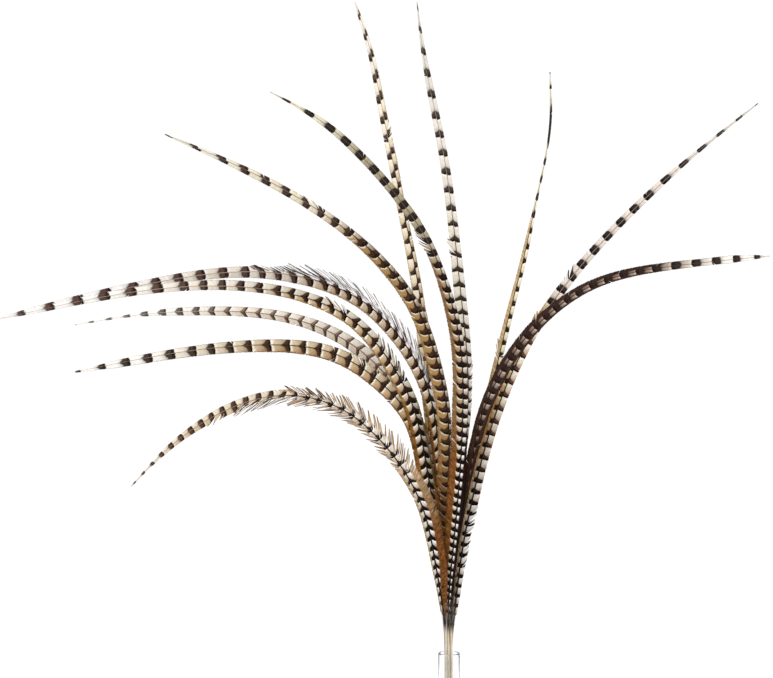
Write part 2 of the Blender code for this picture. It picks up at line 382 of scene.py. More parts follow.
# scales are for noise over mm, and spans say where a step starts and ends, and its values if not 0 and 1
barPaint = dict(
    cloudScale=0.22, fineScale=1.9, streakScale=0.5, driftScale=0.16, grit=0.6,
    jitter=0.04, softSpan=(-0.1, 0.1, 0.05, 0.02),
    coreShift=0.3, coreSpan=(0.3, 0.8, 1, 0), coreGrainSpan=(0.30, 0.62, 0.45, 1),
    outerSpan=(0.25, 1, 0.35, 1), warmSpan=(0.15, 0.9), rimSpan=(0.06, 0.30, 1, 0),
    shadeFrom=0.60,
    bandSpan=(0.88, 1.10), bandCloud=0.45, clouds=1.6, streaks=3.2, barInBand=-0.12,
    driftSpan=(0.38, 0.62), driftTints=((0.84, 0.90, 0.66), (1.10, 0.96, 1.10)),
    strayFrom=(0.99, 1.01), straySpan=(0.2, 0.45, 0, 0.85), edgeSpan=(0.80, 0.97),
    strandLight=0.12, streakLight=0.35, fineLight=0.22, roughness=0.66, barGloss=-0.12,
)


def makeBarGroup():
    # Dark bars across pale cells, and a plain band along the vane's edge. A cell has a white rim at its tip
    # end, takes on the band's colour toward its base and outer end, and is shaded at its base.
    bars, inputs, outputs = newGroup("barredVane", (
        ("Bar At", "Float", 0.0), ("Half Bar", "Float", 0.2), ("Out", "Float", 0.0), ("Strand", "Float", 0.5),
        ("Reach", "Float", 0.0), ("Grain", "Vector", None), ("Along Barbs", "Vector", None),
        ("Wander", "Float", 0.06), ("Streaks", "Float", 1.0), ("Warmth", "Float", 0.4),
        ("Edge Line", "Float", 0.2), ("Mottle", "Float", 0.5), ("Base Light", "Float", 0.74),
        ("Cell", "Color", (0.7, 0.6, 0.5)), ("Rim", "Color", (0.8, 0.75, 0.7)),
        ("Bar Edge", "Color", (0.05, 0.04, 0.03)), ("Bar Core", "Color", (0.2, 0.1, 0.1)),
        ("Band", "Color", (0.5, 0.3, 0.1)),
    ), (("Colour", "Color"), ("Roughness", "Float"), ("Height", "Float")))
    wires = Wires(bars)
    amount = barPaint
    half, out, reach, streaks = (inputs[label] for label in ("Half Bar", "Out", "Reach", "Streaks"))
    cloudy = wires.minus(wires.noise(inputs["Grain"], amount["cloudScale"], 3), 0.5)
    fine = wires.noise(inputs["Grain"], amount["fineScale"], 2, amount["grit"])
    streaky = wires.minus(wires.noise(inputs["Along Barbs"], amount["streakScale"], 2, amount["grit"]), 0.5)
    strand = wires.minus(wires.math("FRACT", inputs["Strand"]), 0.5)

    at = wires.timesPlus(cloudy, inputs["Wander"], inputs["Bar At"])
    at = wires.timesPlus(strand, amount["jitter"], at)
    offset = wires.minus(at, wires.math("FLOOR", wires.math("ADD", at, 0.5)))
    soft = wires.step(offset, *amount["softSpan"])
    beyond = wires.minus(wires.math("ABSOLUTE", offset), half)
    bar = wires.step(beyond, wires.times(soft, -1.0), soft, 1.0, 0.0)
    core = wires.math("ABSOLUTE", wires.timesPlus(half, amount["coreShift"], offset))
    core = wires.step(wires.math("DIVIDE", core, half), *amount["coreSpan"])
    core = wires.times(core, wires.step(fine, *amount["coreGrainSpan"]))

    across = wires.minus(wires.math("FRACT", at), half)
    across = wires.math("DIVIDE", across, wires.minus(1.0, wires.times(half, 2.0)))
    warm = wires.times(inputs["Warmth"], wires.step(across, *amount["warmSpan"]))
    warm = wires.times(warm, wires.step(out, *amount["outerSpan"]))
    shade = wires.step(across, amount["shadeFrom"], 1.0, 1.0, inputs["Base Light"])
    cell = wires.mix(warm, inputs["Cell"], inputs["Band"])
    cell = wires.mix(wires.step(across, *amount["rimSpan"]), cell, inputs["Rim"])
    cell = wires.mix(1.0, cell, shade, "MULTIPLY")
    inner = wires.mix(bar, cell, wires.mix(core, inputs["Bar Edge"], inputs["Bar Core"]))

    patchy = wires.math("ADD", wires.times(cloudy, amount["clouds"]), wires.times(streaky, amount["streaks"]))
    patchy = wires.timesPlus(patchy, inputs["Mottle"], 1.0)
    band = wires.mix(1.0, inputs["Band"], wires.timesPlus(bar, amount["barInBand"], patchy), "MULTIPLY")
    drift = wires.step(wires.noise(inputs["Grain"], amount["driftScale"], 1), *amount["driftSpan"])
    drift = wires.mix(drift, *amount["driftTints"])
    band = wires.mix(inputs["Mottle"], band, wires.mix(1.0, band, drift, "MULTIPLY"))
    bandIn = wires.step(wires.timesPlus(cloudy, amount["bandCloud"], out), *amount["bandSpan"])
    colour = wires.mix(bandIn, inner, band)

    stray = wires.step(inputs["Strand"], *amount["strayFrom"])
    stray = wires.times(stray, wires.step(reach, *amount["straySpan"]))
    colour = wires.mix(stray, colour, inputs["Bar Edge"])
    edge = wires.step(reach, *amount["edgeSpan"])
    light = wires.minus(1.0, wires.times(edge, inputs["Edge Line"]))
    light = wires.timesPlus(strand, wires.times(streaks, amount["strandLight"]), light)
    light = wires.timesPlus(streaky, wires.times(streaks, amount["streakLight"]), light)
    light = wires.timesPlus(wires.minus(fine, 0.5), amount["fineLight"], light)
    wires.put(outputs["Colour"], wires.mix(1.0, colour, light, "MULTIPLY"))
    wires.put(outputs["Roughness"], wires.timesPlus(bar, amount["barGloss"], amount["roughness"]))
    wires.put(outputs["Height"], fine)
    return bars


zoneGroup = makeZoneGroup()
barGroup = makeBarGroup()

vanePaint = dict(
    perMetre=1000.0, strandGrain=3.0, rootBack=(-0.2, -0.6), acrossBarbs=0.2,
    warmth=0.8, warmthMiddle=-0.10, warmthTip=-0.45, mottle=1.0, mottleMiddle=-0.5,
    gloss={"vane": 0.03, "shaft": 0.12}, bumpDepth=0.0002, bump=0.35,
    # the bare quill's horn colours, then a painted shade for its side where the share round the shaft is low,
    # and the span over which that painted shade gives way to the horn
    hornScale=0.12, horn=("E2D8BE", "BEAA88"), hornPaintedShade="705842", hornShadeSpan=(0.05, 0.4),
    bareSpan=(-0.036, -0.012, 1, 0), barredSpan=(0.82, 0.95, 0.3, 0.9),
)


def vaneMaterial(name, feather, part):
    # part is vane or shaft: the shaft has the quill's horn colour below the vane, with a painted shade down
    # one side
    amount = vanePaint
    material, wires, shader = newMaterial(part + "_" + name, {"Specular IOR Level": amount["gloss"][part]})
    marks, spots, barbs = (wires.parts(attribute) for attribute in ("marks", "spots", "barbs"))
    middle, tip = (wires.step(spots[0], *span) for span in (feather["turn"][:2], feather["turn"][2:]))
    fading = wires.step(spots[0], *feather["fade"])
    paints = {}
    for label, key in (("Cell", "cell"), ("Rim", "rim"), ("Bar Edge", "edge"), ("Bar Core", "core"),
                       ("Band", "band")):
        node = wires.group(zoneGroup, **{"Toward Middle": middle, "Toward Tip": tip, "Right": spots[1]})
        for socket, shade in zip(node.inputs[3:], sidePaints(feather[key])):
            wires.put(socket, shade)
        paints[label] = node.outputs["Colour"]
        if label in ("Cell", "Rim", "Band"):
            paints[label] = wires.mix(fading, paints[label], paint(feather["end"]))
    along, side = wires.times(barbs[2], amount["perMetre"]), spots[2]
    grain = wires.vector(along, side, wires.times(barbs[0], amount["strandGrain"]))
    root = wires.times(wires.math("ABSOLUTE", side), wires.timesPlus(barbs[1], *amount["rootBack"]))
    root = wires.timesPlus(barbs[2], amount["perMetre"], root)
    alongBarbs = wires.vector(root, wires.times(side, amount["acrossBarbs"]), 0.0)
    warmth = wires.timesPlus(tip, amount["warmthTip"], amount["warmth"])
    bars = wires.group(barGroup, **{
        "Bar At": marks[0], "Half Bar": marks[2], "Out": marks[1], "Strand": barbs[0], "Reach": barbs[1],
        "Grain": grain, "Along Barbs": alongBarbs, "Streaks": feather["streaks"],
        "Warmth": wires.timesPlus(middle, amount["warmthMiddle"], warmth),
        "Mottle": wires.timesPlus(middle, amount["mottleMiddle"], amount["mottle"]),
        "Edge Line": feather["edgeLine"], "Base Light": feather["baseLight"], **paints})
    colour = bars.outputs["Colour"]
    if part == "shaft":
        bars.inputs["Streaks"].default_value = 0.0
        horn = wires.noise(grain, amount["hornScale"], 2)
        horn = wires.mix(horn, *(paint(code) for code in amount["horn"]))
        # painted shade: the bare quill turns dark brown down the side where the share round the shaft is low
        horn = wires.mix(wires.step(side, *amount["hornShadeSpan"]), paint(amount["hornPaintedShade"]), horn)
        dark = wires.mix(tip, *(paint(code) for code in feather["rachis"].split(", ")))
        barred = wires.step(spots[0], *amount["barredSpan"])
        dark = wires.mix(wires.times(side, barred), dark, colour, "DARKEN")
        colour = wires.mix(wires.step(spots[0], *amount["bareSpan"]), dark, horn)
    wires.put(shader["Base Color"], colour)
    wires.put(shader["Roughness"], bars.outputs["Roughness"])
    bump = wires.tree.nodes.new("ShaderNodeBump")
    wires.put(bump.inputs["Distance"], amount["bumpDepth"])
    wires.put(bump.inputs["Strength"], amount["bump"])
    wires.put(bump.inputs["Height"], bars.outputs["Height"])
    wires.put(shader["Normal"], bump.outputs["Normal"])
    return material


# Feathers

firstSeed = 5
# rows of the uv map, and how its strips lie in them
layout = dict(
    vaneRows=6, rows=8, fromMiddle=0.02, across=0.46, strip=0.46, shaftRow=(0.05, 0.9), downRow=(0.1, 0.8),
    downStrip=0.8,
)

barShape = dict(
    leastBand=0.12, power=2.4, powerTipward=1.4, thinnerAtTip=0.35, thinnerFrom=0.86,
    thinnerOut=0.35, pinch=0.2,
)


def barNumber(feather, fromTip):
    # which bar is at a distance in mm from the tip, from the places that the feather gives
    places, numbers = (np.array(row, float) for row in zip(*feather["bars"]))
    number = np.interp(fromTip, places, numbers)
    first = (numbers[1] - numbers[0]) / (places[1] - places[0])
    last = (numbers[-1] - numbers[-2]) / (places[-1] - places[-2])
    number += np.minimum(fromTip - places[0], 0) * first
    return number + np.maximum(fromTip - places[-1], 0) * last


def markRows(feather, length, vaneLength, along, out, wide, right):
    # bar position, distance out as a share of where the edge band starts, and half width of a bar
    shape, turn = barShape, feather["turn"]
    place = np.clip((along - bunch["mouth"] - bunch["bareAboveRim"]) / vaneLength, 0, 1)
    bandFrom, hook, lag, slope, curl, half = (byZone(feather[key], turn, place, right) for key in
                                              ("bandFrom", "hook", "lag", "slope", "curl", "half"))
    starts = np.where(right > 0, risesOver(place, *feather["cellsStart"]), 1)
    starts = shape["leastBand"] + (1 - shape["leastBand"]) * starts
    share = out / np.maximum(wide * bandFrom * starts, 1e-6)
    inner = np.clip(share, 0, 1)
    tipward = risesOver(place, *turn[:2])
    power = shape["power"] + shape["powerTipward"] * tipward
    hook = hook * (1 - inner) ** power
    at = barNumber(feather, (length - along) * 1000) + hook - lag
    at = at + slope * (1 - inner) + curl * inner ** power
    half = half * (1 - shape["thinnerAtTip"] * risesOver(place, shape["thinnerFrom"], 1.0))
    half = half * (1 - shape["thinnerOut"] * tipward * np.clip(out / np.maximum(wide, 1e-6), 0, 1) ** 4)
    swell = feather["swell"] * (1 - inner) ** 3 - shape["pinch"] * inner ** 3
    half = half * (1 + (1 - tipward) * swell) + tipward * hook
    return np.stack([at, share, half], axis=-1), place


def addRibbons(mesh, slot, edges, uvSides, v, *rows):
    # one flat strip per barb, between its two edges
    points = np.stack(edges, axis=2)
    count, steps = points.shape[:2]
    base = (np.arange(count) * steps * 2)[:, None]
    j = np.arange(steps - 1) * 2
    faces = np.stack([base + j, base + j + 2, base + j + 3, base + j + 1], axis=-1).reshape(-1, 4)
    uv = np.stack([np.stack(np.broadcast_arrays(u, v), axis=-1) for u in uvSides], axis=2)
    mesh.add(points, faces, slot, uv, *(np.stack([values, values], axis=2) for values in rows))


# in mm: gap, half, tilt, rough, stopShort, the splits, and lockEvery, lockSweep and lockLift
barb = dict(
    gap=0.75, half=0.43, tilt=0.10, rough=0.08,
    stations=(0.0, 0.2, 0.42, 0.64, 0.84, 1.0), taper=(1.0, 1.0, 1.0, 1.0, 0.95, 0.5),
    stopShort=0.5, shuffle=0.15, strands=0.98, ragged=0.025, bow=0.25, rootIn=0.6,
    onPower=1.5, archPower=1.2,
    splitEvery=(30, 140), splitBy=(0.2, 1.3), splitReach=(6, 12),
    lockEvery=(3.5, 9.0), lockSweep=(-2.0, 9.0), lockLonger=(-0.08, 0.38), lockLift=(-1.2, 3.0),
    lockGather=0.85, lockThinner=0.2, lockEnds=0.4, lockRise=3, broken=(0.3, 0.6),
)


def partedLocks(feather, side, roots, vaneLength, random):
    # forward shift, length, lift, thickness and darkness of each barb where the vane has split or parted
    count = len(roots)
    shift, lift, dark = np.zeros((3, count))
    longer, thin = np.ones((2, count))
    at = roots[0]
    while at < roots[-1]:
        at += random.uniform(*barb["splitEvery"]) * mm
        by = random.uniform(*barb["splitBy"]) * mm
        reach = random.uniform(*barb["splitReach"]) * mm
        gap = roots - at
        shift += by * np.sign(gap) * np.exp(-np.abs(gap) / reach)
    for zoneSide, low, high, strength, sweep, stretch, *shares in feather["locks"]:
        broken, darkened = shares or (0, 0)
        if zoneSide not in (side, 0):
            continue
        at, end = low * vaneLength + roots[0], high * vaneLength + roots[0]
        middle, reach = (at + end) / 2, (end - at) / 2
        while at < end:
            wide = random.uniform(*barb["lockEvery"]) * mm
            held = (roots >= at) & (roots < at + wide)
            inside = barb["lockRise"] * max(0.0, 1 - abs(at - middle) / reach)
            swell = strength * min(1.0, barb["lockEnds"] + inside)
            shift[held] += (at + wide / 2 - roots[held]) * barb["lockGather"] * min(1, swell)
            shift[held] += (random.uniform(*barb["lockSweep"]) + sweep) * mm * swell
            longer[held] *= 1 + (random.uniform(*barb["lockLonger"]) + stretch) * swell
            lift[held] += random.uniform(*barb["lockLift"]) * mm * swell
            thin[held] = 1 - barb["lockThinner"] * min(1, swell)
            chance = random.uniform(0, 1, (2, count))
            longer[held & (chance[0] < broken)] *= random.uniform(*barb["broken"])
            dark[held & (chance[1] < darkened)] = 1
            at += wide
    return shift, longer, lift, thin, dark


def addBarbs(mesh, feather, at, length, vaneLength, side, random):
    foot = length - vaneLength
    gap = barb["gap"] * mm
    roots = np.arange(foot, length - barb["stopShort"] * mm, gap)
    count = len(roots)
    roots = roots + random.uniform(-barb["shuffle"], barb["shuffle"], count) * gap
    place = np.clip((roots - foot) / vaneLength, 0, 1)
    centre, forward, across, front = framesAt(at, length, feather, roots)
    radius = shaftRadius(place)
    wide = np.maximum(widthAt(feather, side, place), radius)
    shift, longer, lift, thin, dark = partedLocks(feather, side, roots, vaneLength, random)
    strand = random.uniform(0, barb["strands"], count) + dark
    ragged = 1 + random.normal(0, barb["ragged"], count)
    t = np.array(barb["stations"])

    reach, ahead, up = (v[:, None] for v in (wide * longer * ragged, shift, lift))
    bow = (1 - barb["bow"]) * t + barb["bow"] * t ** 2
    inside = barb["rootIn"] * radius[:, None] * (1 - t)
    out = inside + reach * t
    on = bunch["slant"] * reach * bow + ahead * t ** barb["onPower"]
    uneven = random.normal(0, barb["rough"] * mm, (count, 1)) * t
    high = -bunch["arch"] * wide[:, None] * t ** barb["archPower"] + up * t ** 2 + uneven
    line = (centre[:, None] + across[:, None] * (side * out)[..., None] + forward[:, None] * on[..., None]
            + front[:, None] * high[..., None])
    tangent = unit(np.gradient(line, axis=1))
    aside = unit(np.cross(front[:, None], tangent))
    aside = aside * (barb["half"] * mm * np.array(barb["taper"]) * thin[:, None])[..., None]
    tilt = front[:, None] * (barb["tilt"] * mm * side)

    # where the barb would lie in a whole vane: its marks don't move when it parts
    plainOut = inside + wide[:, None] * t
    plainOn = roots[:, None] + bunch["slant"] * wide[:, None] * bow
    right = np.full(plainOn.shape, float(side > 0))
    marks, places = markRows(feather, length, vaneLength, plainOn, plainOut, wide[:, None], right)
    spots = np.stack([places, right, plainOut * 1000 * side], axis=-1)
    barbs = np.stack(np.broadcast_arrays(strand[:, None], t, plainOn), axis=-1)

    rows = layout["vaneRows"]
    row = np.minimum((place * rows).astype(int), rows - 1)
    start = (place * rows - row)[:, None]
    strip = gap / vaneLength * rows * layout["strip"]
    uvSides = np.clip(start - strip, 0, 1), np.clip(start + strip, 0, 1)
    v = (row[:, None] + 0.5 + side * (layout["fromMiddle"] + layout["across"] * t)) / layout["rows"]
    addRibbons(mesh, 0, (line - aside - tilt, line + aside + tilt), uvSides, v, marks, spots, barbs)


# lengths in metres: the shaft takes its bars from marksOut beside its middle, in a vane marksWide wide
shaft = dict(
    sides=10, step=0.004, firstRing=0.011, lastGap=0.001, marksOut=0.0005, marksWide=0.01, outFromShaft=0.5,
    # pale and paleSide make a share round the shaft that is high on its right: the bars reach onto the rachis
    # by it, and where it is low the bare quill gets a painted shade
    pale=0.5, paleSide=0.9,
)


def addShaft(mesh, feather, at, length, vaneLength):
    foot = length - vaneLength
    sides = shaft["sides"]
    places, radii = zip(*bunch["quill"], (foot, bunch["shaftFoot"]))
    along = np.arange(shaft["firstRing"], length - shaft["lastGap"], shaft["step"])
    along = np.concatenate([places[:3], along, [length]])
    inVane = shaftRadius(np.clip((along - foot) / vaneLength, 0, 1))
    radius = np.where(along > foot, inVane, np.interp(along, places, radii))
    centre, forward, across, front = framesAt(at, length, feather, along)
    angles = np.arange(sides) * 2 * math.pi / sides
    ring = (across[:, None] * np.cos(angles)[:, None] + front[:, None] * np.sin(angles)[:, None])
    points = centre[:, None] + ring * radius[:, None, None]
    count = len(along)
    nominal = np.repeat(along[:, None], sides, axis=1)
    flat = 0 * nominal
    right = flat + (np.cos(angles) > 0)
    out, wide = flat + shaft["marksOut"], flat + shaft["marksWide"]
    marks, _ = markRows(feather, length, vaneLength, nominal, out, wide, right)
    marks[..., 1] = shaft["outFromShaft"]
    # share round the shaft, high on its right: it carries the rachis's bars and sets where the bare quill has
    # its painted shade
    pale = flat + np.clip(shaft["pale"] + shaft["paleSide"] * np.cos(angles), 0, 1)
    spots = np.stack([(nominal - foot) / vaneLength, right, pale], axis=-1)
    barbs = np.stack([flat + 0.5, flat, nominal], axis=-1)
    i = np.arange(count - 1)[:, None] * sides
    k = np.arange(sides)
    nextK = (k + 1) % sides
    faces = np.stack([i + k, i + nextK, i + sides + nextK, i + sides + k], axis=-1).reshape(-1, 4)
    margin, high = layout["shaftRow"]
    v = (layout["vaneRows"] + margin + high * k / sides) / layout["rows"]
    uv = np.stack(np.broadcast_arrays((along / length)[:, None], v), axis=-1)
    mesh.add(points, faces, 1, uv, marks, spots, barbs)
    for end, order in ((0, slice(None, None, -1)), (count - 1, slice(None))):
        mesh.add(points[end], k[order][None], 1, uv[end], marks[end], spots[end], barbs[end])


# reach, rootOut, half, curl and wave are in mm, grows and shortOver in metres along the shaft
down = dict(
    grows=(0.192, 0.235, 0.262), shortOver=0.02, shortest=0.35, count=150, reach=(3.0, 6.5),
    rootOut=1.0, half=0.13, thinner=0.75, curl=2.2, wave=0.9, waves=(3, 7),
    forward=(0.5, 1.5), forwardPower=1.4, spin=0.3,
    shades=("B0A494", "706052"), ends="CCC4B8", endSpan=(0.2, 1.0),
    finish={"Roughness": 0.85, "Specular IOR Level": 0.1},
)


def downMaterial():
    material, wires, shader = newMaterial("greyDown", down["finish"])
    barbs = wires.parts("barbs")
    colour = wires.mix(barbs[0], *(paint(code) for code in down["shades"]))
    ends = wires.step(barbs[1], *down["endSpan"])
    wires.put(shader["Base Color"], wires.mix(ends, colour, paint(down["ends"])))
    return material


greyDown = downMaterial()


def addDown(mesh, feather, at, length, random):
    # loose grey down round the shaft, just below and along the foot of the vane
    count = down["count"]
    roots = np.sort(random.triangular(*down["grows"], count))
    centre, forward, across, front = framesAt(at, length, feather, roots)
    turn = random.uniform(0, 2 * math.pi, count)
    way = across * np.cos(turn)[:, None] + front * np.sin(turn)[:, None]
    fade = np.clip((roots - down["grows"][0]) / down["shortOver"], down["shortest"], 1)
    reach = (random.uniform(*down["reach"], count) * mm * fade)[:, None]
    t = np.linspace(0, 1, 6)
    bend = random.uniform(-1, 1, (count, 1)) * down["curl"] * mm
    wave = np.sin(t * random.uniform(*down["waves"], (count, 1)) + random.uniform(0, 6, (count, 1)))
    wave = wave * t * down["wave"] * mm
    spin = np.cross(forward, way)
    ahead = reach * random.uniform(*down["forward"], (count, 1)) * t ** down["forwardPower"]
    line = (centre[:, None] + way[:, None] * ((reach * t)[..., None] + down["rootOut"] * mm)
            + forward[:, None] * ahead[..., None] + spin[:, None] * (bend * t ** 2 + wave)[..., None])
    tangent = unit(np.gradient(line, axis=1))
    aside = unit(np.cross(way[:, None] + down["spin"] * spin[:, None], tangent))
    aside = aside * (down["half"] * mm * (1 - down["thinner"] * t))[None, :, None]
    barbs = random.uniform(0, 1, (count, 1)), t, roots[:, None]
    barbs = np.stack(np.broadcast_arrays(*barbs), axis=-1)
    start = (np.arange(count) / count)[:, None]
    margin, high = layout["downRow"]
    v = (layout["rows"] - 1 + margin + high * t) / layout["rows"]
    blank = 0 * barbs
    uvSides = start, start + layout["downStrip"] / count
    addRibbons(mesh, 2, (line - aside, line + aside), uvSides, v, blank, blank, barbs)


def makeFeather(name, index, feather):
    at, length = featherRoute(feather, index)
    vaneLength = length - bunch["mouth"] - bunch["bareAboveRim"]
    random = np.random.default_rng(firstSeed + index)
    mesh = Mesh(name + "_barbs")
    for side in (-1, 1):
        addBarbs(mesh, feather, at, length, vaneLength, side, random)
    addShaft(mesh, feather, at, length, vaneLength)
    addDown(mesh, feather, at, length, random)
    piece = mesh.build([vaneMaterial(name, feather, part) for part in ("vane", "shaft")] + [greyDown])
    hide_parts(name)
    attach(piece, "root")
    report(name)


# Each route is where the shaft runs above the vase's mouth, in mm. Left and right are how far the vanes
# reach, near the foot and then in the outer half, and trim (place, left, right) scales them. Bars are (mm
# from the tip, bar number). A value has one, two (left, right), three (foot, middle, tip) or six parts, and
# turn says where along the vane the foot's give way to the middle's and the middle's to the tip's. Colours
# are web codes for the foot, the middle and the tip, each one code or a left and a right one, and the
# rachis has two, foot and tip. Half, hook, slope, curl and lag are the bars' half width and how far they run
# toward the tip at the shaft, at the shaft but straight, at the edge, and toward the foot as a whole, all in
# bar spacings. Locks are the places where the barbs have parted: side (0 for both), start, end, how
# strongly, how far swept forward in mm, by what share longer, and the shares of barbs broken off and dark.

# what a feather has where its own entry doesn't say
usual = dict(
    slot="barred_vane", locks=(), slope=(0,), curl=(0,), lag=(0,), swell=0.6, cellsStart=(-0.2, -0.1),
    fade=(0.98, 1), end="F0EADE", streaks=1, edgeLine=0.15, baseLight=0.74,
)

feathers = {}
feathers["feather_left_frayed"] = dict(
    left=(9.5, 19), right=(21, 16), roll=12,
    route=((-8, -13, 234), (-22, -26, 323), (-40, -40, 407), (-76, -57, 481), (-114, -70, 529),
           (-158, -85, 567), (-210, -100, 590), (-270, -118, 595), (-324, -136, 582), (-374, -155, 557),
           (-424, -180, 519), (-473, -210, 466)),
    trim=((0, 1, 0.5), (0.07, 1, 1), (0.76, 1, 1), (0.85, 0.75, 0.75), (0.9, 0.66, 0.66), (0.95, 0.42, 0.42),
          (1, 0.6, 0.6)),
    locks=((-1, 0.33, 0.47, 0.8, 5, 0.1, 0.05, 0.15), (-1, 0.47, 0.6, 1, 7, 0.4, 0.15, 0.25),
           (-1, 0.6, 0.72, 1, 12, 0.6, 0.6, 0.5), (1, 0.31, 0.53, 1, 6, 0.3, 0.2, 0.25),
           (1, 0.53, 0.61, 0.9, 9, 0.2, 0.4, 0.5), (-1, 0.76, 0.79, 0.8, 4, 0.2)),
    bars=((8, 0), (105, 5), (199, 10), (299, 15), (395, 20), (487, 25), (570, 30), (653, 35), (765, 42.5)),
    turn=(0.17, 0.36, 0.6, 0.7), half=(0.23, 0.22, 0.14, 0.15, 0.23, 0.23), swell=0.4,
    hook=(0.12, 0.08, 0.25, 0.2, 0.02, 0.06), slope=(0.18, 0.34, 0.15, 0.15, 0, 0),
    bandFrom=(0.7, 0.36, 0.42, 0.45, 1.3, 1.3), cellsStart=(0.03, 0.13),
    cell="D6CFC6 E6DED6, D4BEA6 E6D8C6, DEC8A8 E6D8C4", rim="DAD4CC F2ECE6, ECDCCA F6EEE4, EADAC2 F0E6D6",
    edge="0C0603, 1A0F09, 36241A", core="120904, 3C2A1E, 604838",
    band="AC9C84 704824, B69C7E BA9E7C, D4B896 E2CCAC", rachis="140D09, 968068", fade=(0.84, 0.96),
    end="F4EEE4", streaks=1.8,
)
feathers["feather_centre_front"] = dict(
    left=(20, 21), right=(9.5, 8), roll=18,
    route=((-2, -13, 234), (5, -28, 348), (12, -41, 428), (19, -61, 570), (15.5, -73, 664), (0.5, -82, 738),
           (-26, -91, 811.5), (-72, -101, 885), (-142, -113, 964), (-190, -120, 1006), (-276, -132, 1055)),
    trim=((0.6, 1, 1), (0.68, 0.74, 1.75), (0.9, 0.72, 1.65), (0.95, 0.46, 1.05), (1, 0.4, 1)),
    locks=((-1, 0.62, 0.655, 0.9, 4, 0.1),),
    bars=((27, 0), (106, 2), (198, 5), (314, 10), (417, 15), (502, 20), (586, 25), (661, 30), (732, 35),
          (800, 40), (865, 45), (940, 51.5)),
    turn=(0.25, 0.38, 0.57, 0.67), half=(0.26, 0.22, 0.21, 0.24, 0.275, 0.275),
    hook=(0.26, 0.18, 0.16, 0.12, 0, 0), curl=(0.22, 0, 0.32, 0, 0, 0),
    bandFrom=(0.37, 0.5, 0.62, 1.1, 1.3, 1.3), cell="DED0BC ECE6E2, B09678 D0C4B6, A89C82",
    rim="F6ECDE F6F2EE, F0E4D0 E4D8CC, BAAE94", edge="0C0502, 140A06, 261E1C", core="120803, 2C180E, 322A26",
    band="784D26 221410, 826340 281A16, A29478", rachis="18100C, 685440", fade=(0.8, 0.95), end="F0E8D0",
    edgeLine=0.35,
)
feathers["feather_dark_right"] = dict(
    left=(11, 18), right=(3.5, 13), roll=20, slot="dark_vane",
    route=((3, -13, 234), (11, -26, 348), (24, -37, 428), (44, -53, 546), (79.5, -68, 631.5),
           (133.5, -82, 703.5), (212, -99, 762), (334, -122, 792), (475, -150, 806)),
    trim=((0.05, 0.5, 0.3), (0.13, 0.55, 0.4), (0.2, 0.9, 0.8), (0.27, 0.85, 1.6), (0.33, 0.65, 1.95),
          (0.44, 0.8, 1.45), (0.55, 1, 1), (0.88, 1, 1), (0.93, 1.25, 1.25), (1, 1.1, 1.1)),
    bars=((19, 0), (169, 5), (292, 10), (394, 15), (478, 19), (869, 40)),
    turn=(0.3, 0.42, 0.78, 0.87), half=(0.3, 0.27, 0.255), hook=(0.2, 0.05, 0), curl=(0.2, 0.05, 0),
    slope=(0, 0.25, 0, 0, 0, 0), bandFrom=(0.1, 0.4, 0.42, 0.64, 1.3, 1.3),
    cell="543A2C 745844, 846D5E 9C897A, C8BAAA", rim="5C4234 866A56, A08472 C0AE9E, DED3C6",
    edge="180E0C, 1E1412, 261E1C", core="241614, 36241F, 382C28", band="422B1E 34221A, 392922 3C2C25, 2E2421",
    rachis="1E1412, 50423A", fade=(0.86, 0.94), end="F0EAE2", edgeLine=0.5,
)
feathers["feather_slant_left"] = dict(
    left=(20, 23), right=(3.5, 10), roll=16,
    route=((-6, -4, 233), (-5, -9, 345), (-1, -15, 473), (-3.5, -19, 569), (-20.5, -24, 648.5),
           (-49.5, -28, 727.5), (-102, -33, 800), (-178.5, -39, 864.5), (-289, -48, 931), (-446, -60, 1001)),
    trim=((0.58, 1, 1), (0.68, 0.76, 1.3), (0.85, 0.74, 1.25), (0.9, 0.62, 1.05), (0.95, 0.52, 0.9),
          (1, 0.6, 1)),
    locks=((1, 0.72, 0.75, 0.7, 6, 0.1), (-1, 0.145, 0.2, 0.8, 5, 0.15)),
    bars=((52, 0), (99, 1), (246, 5), (381, 10), (492, 15), (587, 20), (676, 25), (763, 30), (842, 35),
          (985, 44)),
    turn=(0.17, 0.33, 0.62, 0.76), half=(0.21, 0.3, 0.205, 0.25, 0.22, 0.22), hook=(0.2, 0, 0.3, 0.06, 0, 0),
    curl=(0.2, 0, 0.3, 0, 0, 0), lag=(0, 0, 0, 0, 0.05, -0.08), bandFrom=(0.52, 0.15, 0.78, 0.85, 1.3, 1.3),
    cell="6C4E30 463428, A28256 B2A28C, E4DAC2", rim="968468 60544A, E6D6BC DED4C4, F0E8D7",
    edge="1A0E08, 1E120B, 322420", core="341E10, 483020, 503E38", band="6E4622 221610, A68454 78685A, DED2B6",
    rachis="1C140E, 7C6854", fade=(0.8, 0.93), end="EAE4D4", edgeLine=0.35,
)
